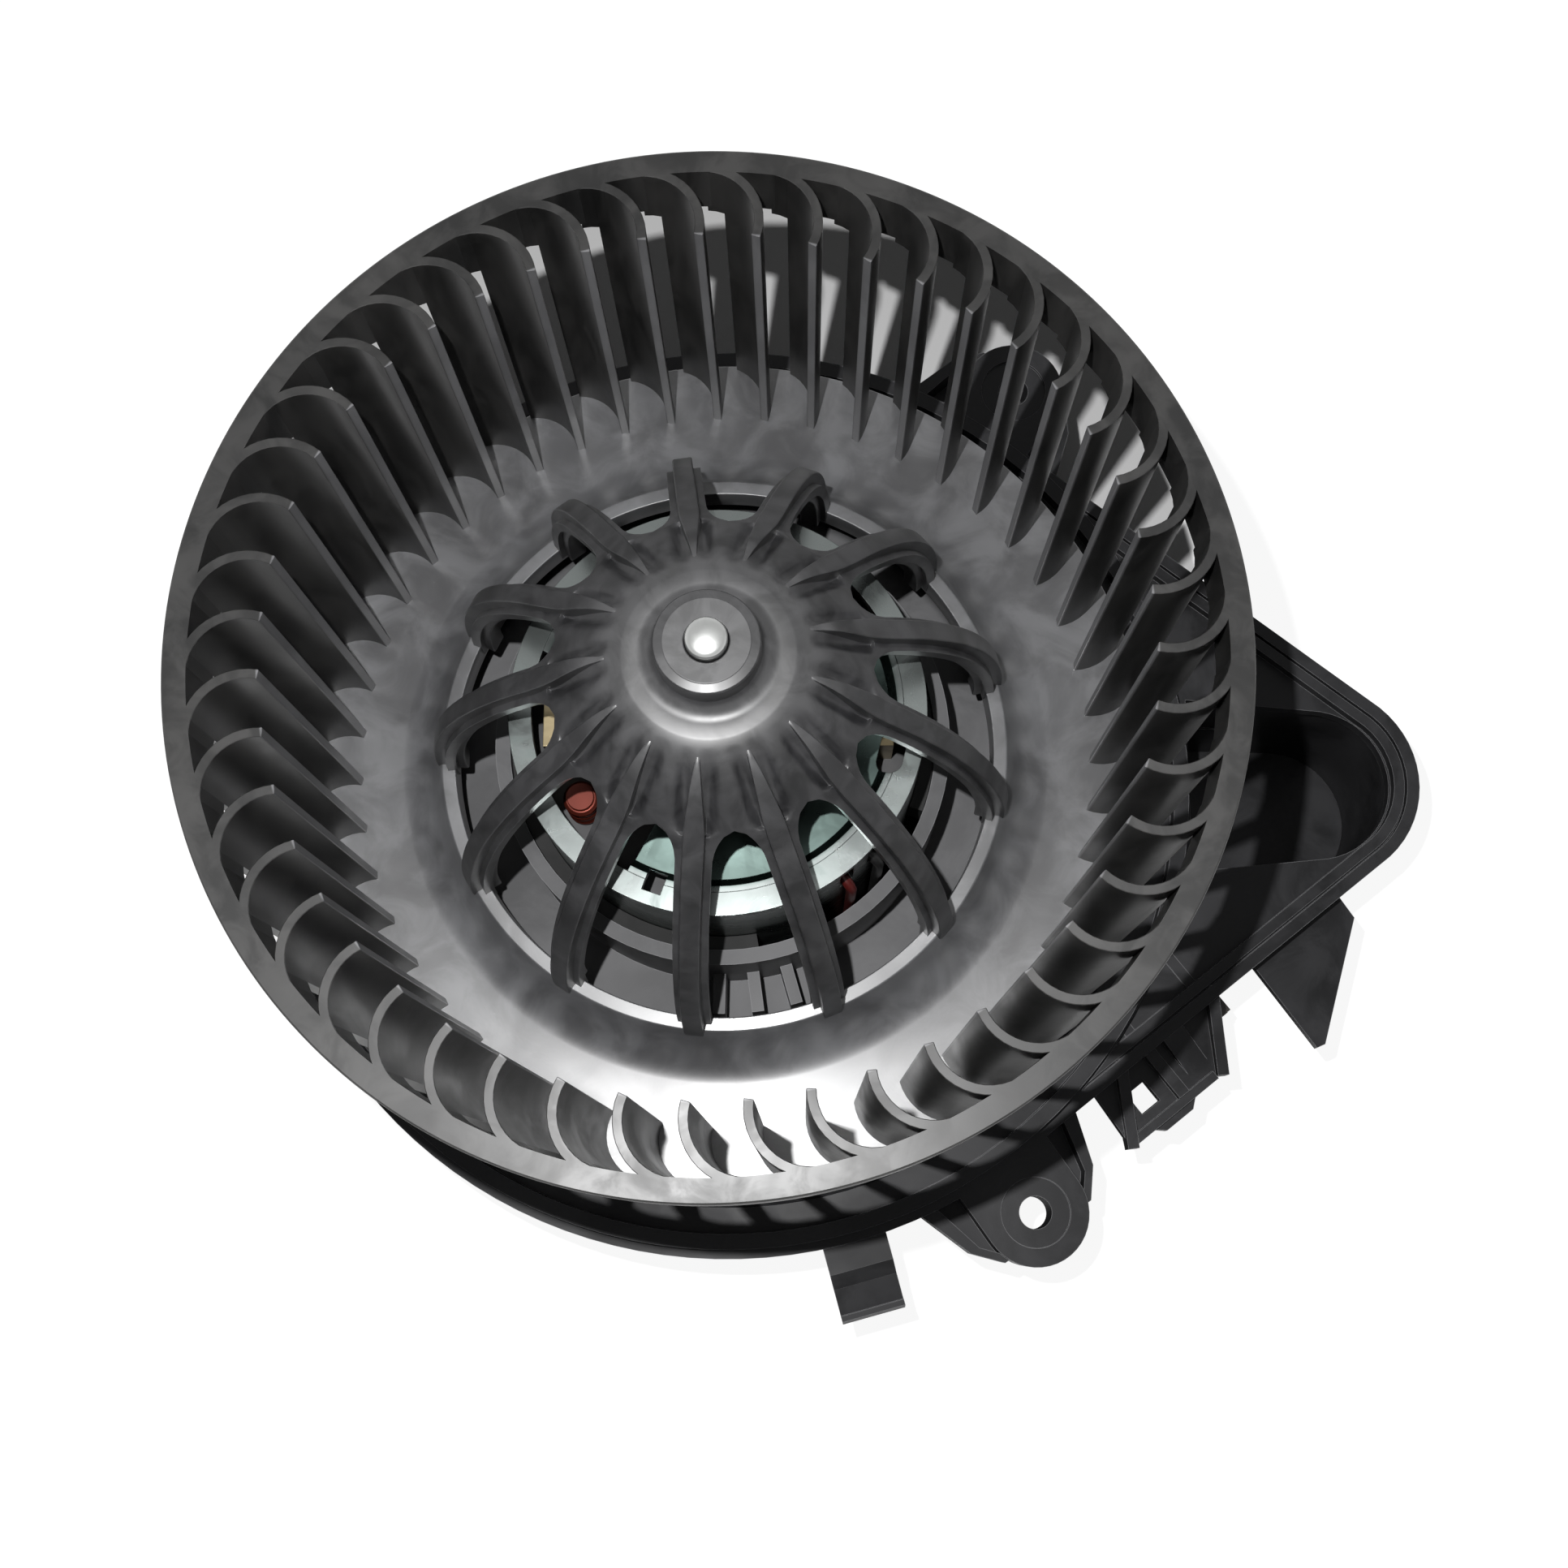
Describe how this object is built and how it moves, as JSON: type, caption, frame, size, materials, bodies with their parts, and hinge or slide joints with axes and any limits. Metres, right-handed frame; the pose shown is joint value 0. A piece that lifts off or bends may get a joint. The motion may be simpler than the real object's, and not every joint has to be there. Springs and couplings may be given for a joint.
{
  "type": "car cabin blower motor",
  "caption": "Forward-curved fan wheel on a brushed motor, in a round moulded carrier with screw ears, a cooling duct arm and a plug socket.",
  "frame": {"origin": "on the fan axis, in the top plane of the screw ears, where the locating collar begins", "axes": "+Z along the fan axis to the air inlet, +X along the cooling duct arm, +Y by the right-hand rule"},
  "size_m": [0.2252, 0.1797, 0.1312],
  "materials": {
    "wheel_plastic": "moulded, soft gloss",
    "shaft_steel": "ground",
    "core_steel": "stacked sheets",
    "winding_copper": "enamelled wire",
    "commutator_copper": "turned",
    "washer_nylon": "plain",
    "can_zinc": "zinc plated",
    "bell_zinc": "zinc plated",
    "bearing_bronze": "sintered",
    "magnet_ferrite": "ground",
    "clip_steel": "spring steel",
    "plate_resin": "moulded",
    "holder_brass": "stamped",
    "brush_carbon": "pressed carbon",
    "spring_steel": "wound wire",
    "carrier_plastic": "moulded, soft gloss",
    "damper_rubber": "matt",
    "connector_resin": "moulded",
    "terminal_tin": "tin plated",
    "lead_red": "insulated wire",
    "lead_black": "insulated wire",
    "screw_steel": "zinc plated"
  },
  "bodies": {
    "housing": {"motor_can": "can_zinc", "end_bell": "bell_zinc", "upper_bearing": "bearing_bronze", "lower_bearing": "bearing_bronze", "magnet_left": "magnet_ferrite", "magnet_right": "magnet_ferrite", "magnet_clips": "clip_steel", "brush_plate": "plate_resin", "brush_holder_left": "holder_brass", "brush_holder_right": "holder_brass", "brush_spring_left": "spring_steel", "brush_spring_right": "spring_steel", "choke_left": "winding_copper", "choke_right": "winding_copper", "motor_carrier": "carrier_plastic", "bottom_cover": "carrier_plastic", "upper_damper": "damper_rubber", "lower_damper": "damper_rubber", "connector_housing": "connector_resin", "terminal_plus": "terminal_tin", "terminal_minus": "terminal_tin", "lead_plus": "lead_red", "lead_minus": "lead_black", "cover_screws": "screw_steel"},
    "rotor": {"fan_wheel": "wheel_plastic", "motor_shaft": "shaft_steel", "armature_core": "core_steel", "armature_windings": "winding_copper", "commutator": "commutator_copper", "thrust_washers": "washer_nylon"},
    "brush_set_left": {"brush_left": "brush_carbon"},
    "brush_set_right": {"brush_right": "brush_carbon"}
  },
  "joints": [
    {"name": "fan_spin", "type": "hinge", "parent": "housing", "child": "rotor", "pos_m": [0, 0, 0], "axis": [0, 0, 1], "continuous": true},
    {"name": "brush_slide_left", "type": "slide", "parent": "housing", "child": "brush_set_left", "axis": [-1, 0, 0], "range_m": [0, 0.003], "stiffness_N_per_m": 400, "springref_m": -0.005, "deforming": ["brush_spring_left"]},
    {"name": "brush_slide_right", "type": "slide", "parent": "housing", "child": "brush_set_right", "axis": [1, 0, 0], "range_m": [0, 0.003], "stiffness_N_per_m": 400, "springref_m": -0.005, "deforming": ["brush_spring_right"]}
  ]
}
